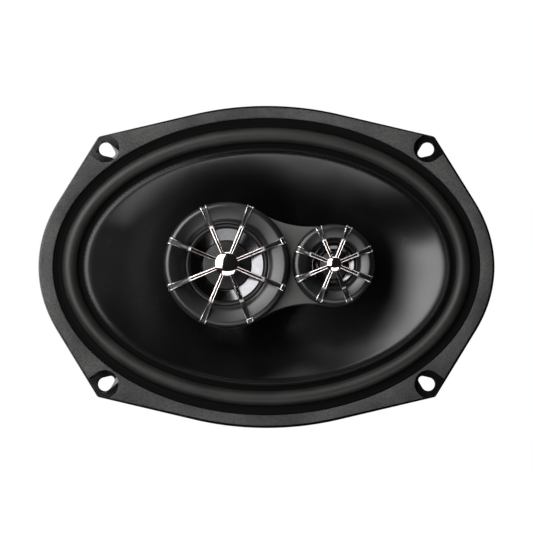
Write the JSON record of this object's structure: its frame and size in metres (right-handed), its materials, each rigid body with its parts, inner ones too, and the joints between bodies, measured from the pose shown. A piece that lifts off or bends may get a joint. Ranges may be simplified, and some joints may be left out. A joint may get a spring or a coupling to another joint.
{
  "type": "coaxial car speaker",
  "caption": "Oval three-way coaxial car speaker: steel basket, rubber-edged cone, and a midrange and a tweeter in guarded pods on a centre bridge.",
  "frame": {"origin": "centre of the mounting flange's rear face, on the voice coil's axis", "axes": "+X along the long axis of the oval towards the tweeter, +Y out of the back of the motor, +Z along the short axis towards the terminals; the speaker faces -Y"},
  "size_m": [0.236, 0.1022, 0.167],
  "materials": {
    "basket_steel": "black baked enamel, semi-gloss",
    "gasket_foam": "fine-grained matt gasket",
    "surround_rubber": "satin butyl rubber",
    "cone_plastic": "semi-gloss black polypropylene with fine rings",
    "spider_cloth": "phenolic-dipped woven cloth",
    "zinc_plate": "bright zinc plating",
    "ferrite": "dark ground ferrite",
    "nickel_magnet": "nickel-plated sintered magnet",
    "post_nylon": "glass-filled nylon",
    "phenolic_board": "brown phenolic paper board",
    "tinned_brass": "tin-plated brass",
    "tinsel": "woven tinsel braid",
    "capacitor_sleeve": "shrink sleeve, unprinted",
    "wire_black": "soft vinyl sleeve",
    "wire_red": "soft vinyl sleeve",
    "wire_blue": "soft vinyl sleeve",
    "bridge_abs": "satin dark grey ABS",
    "pod_abs": "satin black ABS",
    "guard_chrome": "bright chrome plating",
    "metallised_film": "smoked aluminised film",
    "tweeter_dome": "coated black silk",
    "former_film": "amber film",
    "coil_copper": "enamelled copper wire",
    "dust_felt": "black felt"
  },
  "bodies": {
    "root": {"basket": "basket_steel", "front_gasket": "gasket_foam", "woofer_surround": "surround_rubber", "woofer_spider": "spider_cloth", "top_plate": "zinc_plate", "ferrite_magnet": "ferrite", "pole_yoke": "zinc_plate", "motor_rivet_1": "zinc_plate", "motor_rivet_2": "zinc_plate", "motor_rivet_3": "zinc_plate", "motor_rivet_4": "zinc_plate", "centre_post": "post_nylon", "post_nut": "zinc_plate", "bridge": "bridge_abs", "bridge_screw_1": "zinc_plate", "bridge_screw_2": "zinc_plate", "midrange_housing": "pod_abs", "midrange_guard": "guard_chrome", "midrange_yoke": "zinc_plate", "midrange_magnet": "nickel_magnet", "midrange_pole_plate": "zinc_plate", "midrange_surround": "surround_rubber", "tweeter_housing": "pod_abs", "tweeter_guard": "guard_chrome", "tweeter_yoke": "zinc_plate", "tweeter_magnet": "nickel_magnet", "tweeter_pole_plate": "zinc_plate", "tweeter_surround": "metallised_film", "terminal_board": "phenolic_board", "board_rivet_1": "tinned_brass", "board_rivet_2": "tinned_brass", "terminal_positive": "tinned_brass", "terminal_negative": "tinned_brass", "midrange_capacitor": "capacitor_sleeve", "tweeter_capacitor": "capacitor_sleeve", "tinsel_lead_positive": "tinsel", "tinsel_lead_negative": "tinsel", "common_wire": "wire_black", "midrange_wire": "wire_red", "tweeter_wire": "wire_blue"},
    "woofer": {"woofer_cone": "cone_plastic", "voice_coil_former": "former_film", "voice_coil_winding": "coil_copper", "dust_ring": "dust_felt"},
    "midrange": {"midrange_cone": "metallised_film", "midrange_dust_cap": "cone_plastic", "midrange_coil_former": "former_film", "midrange_winding": "coil_copper"},
    "tweeter": {"tweeter_dome": "tweeter_dome", "tweeter_coil_former": "former_film", "tweeter_winding": "coil_copper"}
  },
  "joints": [
    {"name": "woofer_stroke", "type": "slide", "parent": "root", "child": "woofer", "axis": [0, -1, 0], "range_m": [-0.005, 0.005], "stiffness_N_per_m": 2600, "deforming": ["woofer_surround", "woofer_spider", "tinsel_lead_positive", "tinsel_lead_negative"]},
    {"name": "midrange_stroke", "type": "slide", "parent": "root", "child": "midrange", "axis": [0, -1, 0], "range_m": [-0.0005, 0.0005], "stiffness_N_per_m": 1500, "deforming": ["midrange_surround"]},
    {"name": "tweeter_stroke", "type": "slide", "parent": "root", "child": "tweeter", "axis": [0, -1, 0], "range_m": [-0.00025, 0.00025], "stiffness_N_per_m": 1000, "deforming": ["tweeter_surround"]}
  ]
}
